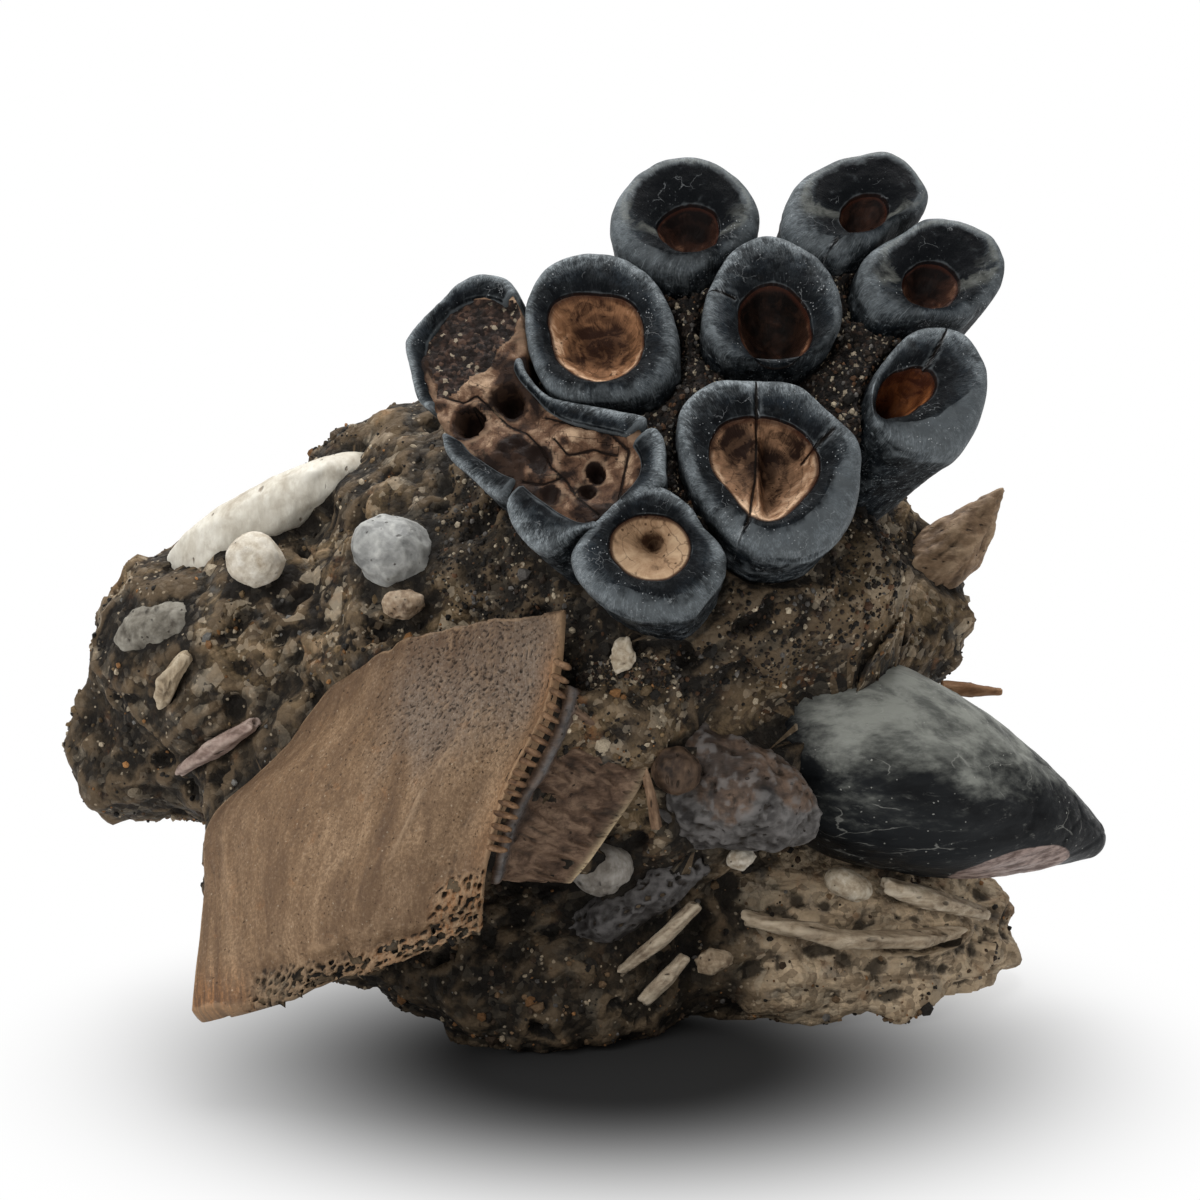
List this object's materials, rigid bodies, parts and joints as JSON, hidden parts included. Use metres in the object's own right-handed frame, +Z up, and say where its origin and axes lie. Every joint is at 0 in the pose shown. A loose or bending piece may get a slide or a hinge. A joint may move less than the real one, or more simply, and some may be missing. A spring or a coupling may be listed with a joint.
{
  "type": "fossil desmostylus tooth",
  "caption": "Fossil desmostylus molar, a bundle of enamel pillars with worn hollow ends, seated on its block of bone-bed matrix with other bones, a second tooth, shell and pebbles.",
  "frame": {"origin": "middle of the underside of the whole specimen's box, on the surface it rests on", "axes": "+X to the right along the block's length, towards the second tooth's tip; -Y the front, the side the worn ends of the pillars face; +Z up"},
  "size_m": [0.1394, 0.0886, 0.1102],
  "materials": {
    "matrix": "granular matt bone-bed matrix",
    "enamel": "satin blue-black fossil enamel with brown dentine in the worn cups",
    "dark_tooth": "satin black and greenish-grey fossil enamel",
    "tan_bone": "semi-matt tan-brown fossil bone",
    "dark_bone": "matt dark brown fossil bone",
    "grey_bone": "semi-matt grey-brown fossil bone",
    "orange_bone": "semi-matt orange-brown fossil bone",
    "pale_bone": "matt cream fossil bone",
    "pink_bone": "matt pinkish-grey fossil bone",
    "shell": "semi-matt off-white shell",
    "white_stone": "matt white pebble",
    "grey_stone": "matt grey pebble",
    "brown_stone": "matt brown pebble"
  },
  "bodies": {
    "root": {"matrix_block": "matrix", "tooth_pillar_back_left": "enamel", "tooth_pillar_back_right": "enamel", "tooth_pillar_right": "enamel", "tooth_pillar_centre": "enamel", "tooth_pillar_left": "enamel", "tooth_pillar_front": "enamel", "tooth_pillar_front_right": "enamel", "tooth_pillar_far_right": "enamel", "tooth_double_pillar": "enamel", "bone_plate": "tan_bone", "bone_flange": "dark_bone", "second_tooth": "dark_tooth", "knuckle_bone": "grey_bone", "bone_nodule": "dark_bone", "thin_splinter": "orange_bone", "pitted_bone": "grey_bone", "pale_splinter_long": "pale_bone", "pale_splinter_short": "pale_bone", "pale_flake_low": "pale_bone", "rib_splinter": "pale_bone", "pale_ledge_splinter": "pale_bone", "white_pebble_right": "white_stone", "pale_chip": "white_stone", "white_pebble_low": "white_stone", "pale_flake_front": "shell", "tan_chip": "orange_bone", "white_slab": "shell", "white_pebble": "white_stone", "grey_pebble": "grey_stone", "left_pebble": "brown_stone", "pale_streak": "pale_bone", "pink_splinter": "pink_bone", "bone_spike": "orange_bone", "stub_right": "orange_bone", "back_bone_lump": "tan_bone", "back_splinter": "pale_bone", "back_pebble": "grey_stone", "back_pebble_low": "brown_stone"}
  },
  "joints": []
}
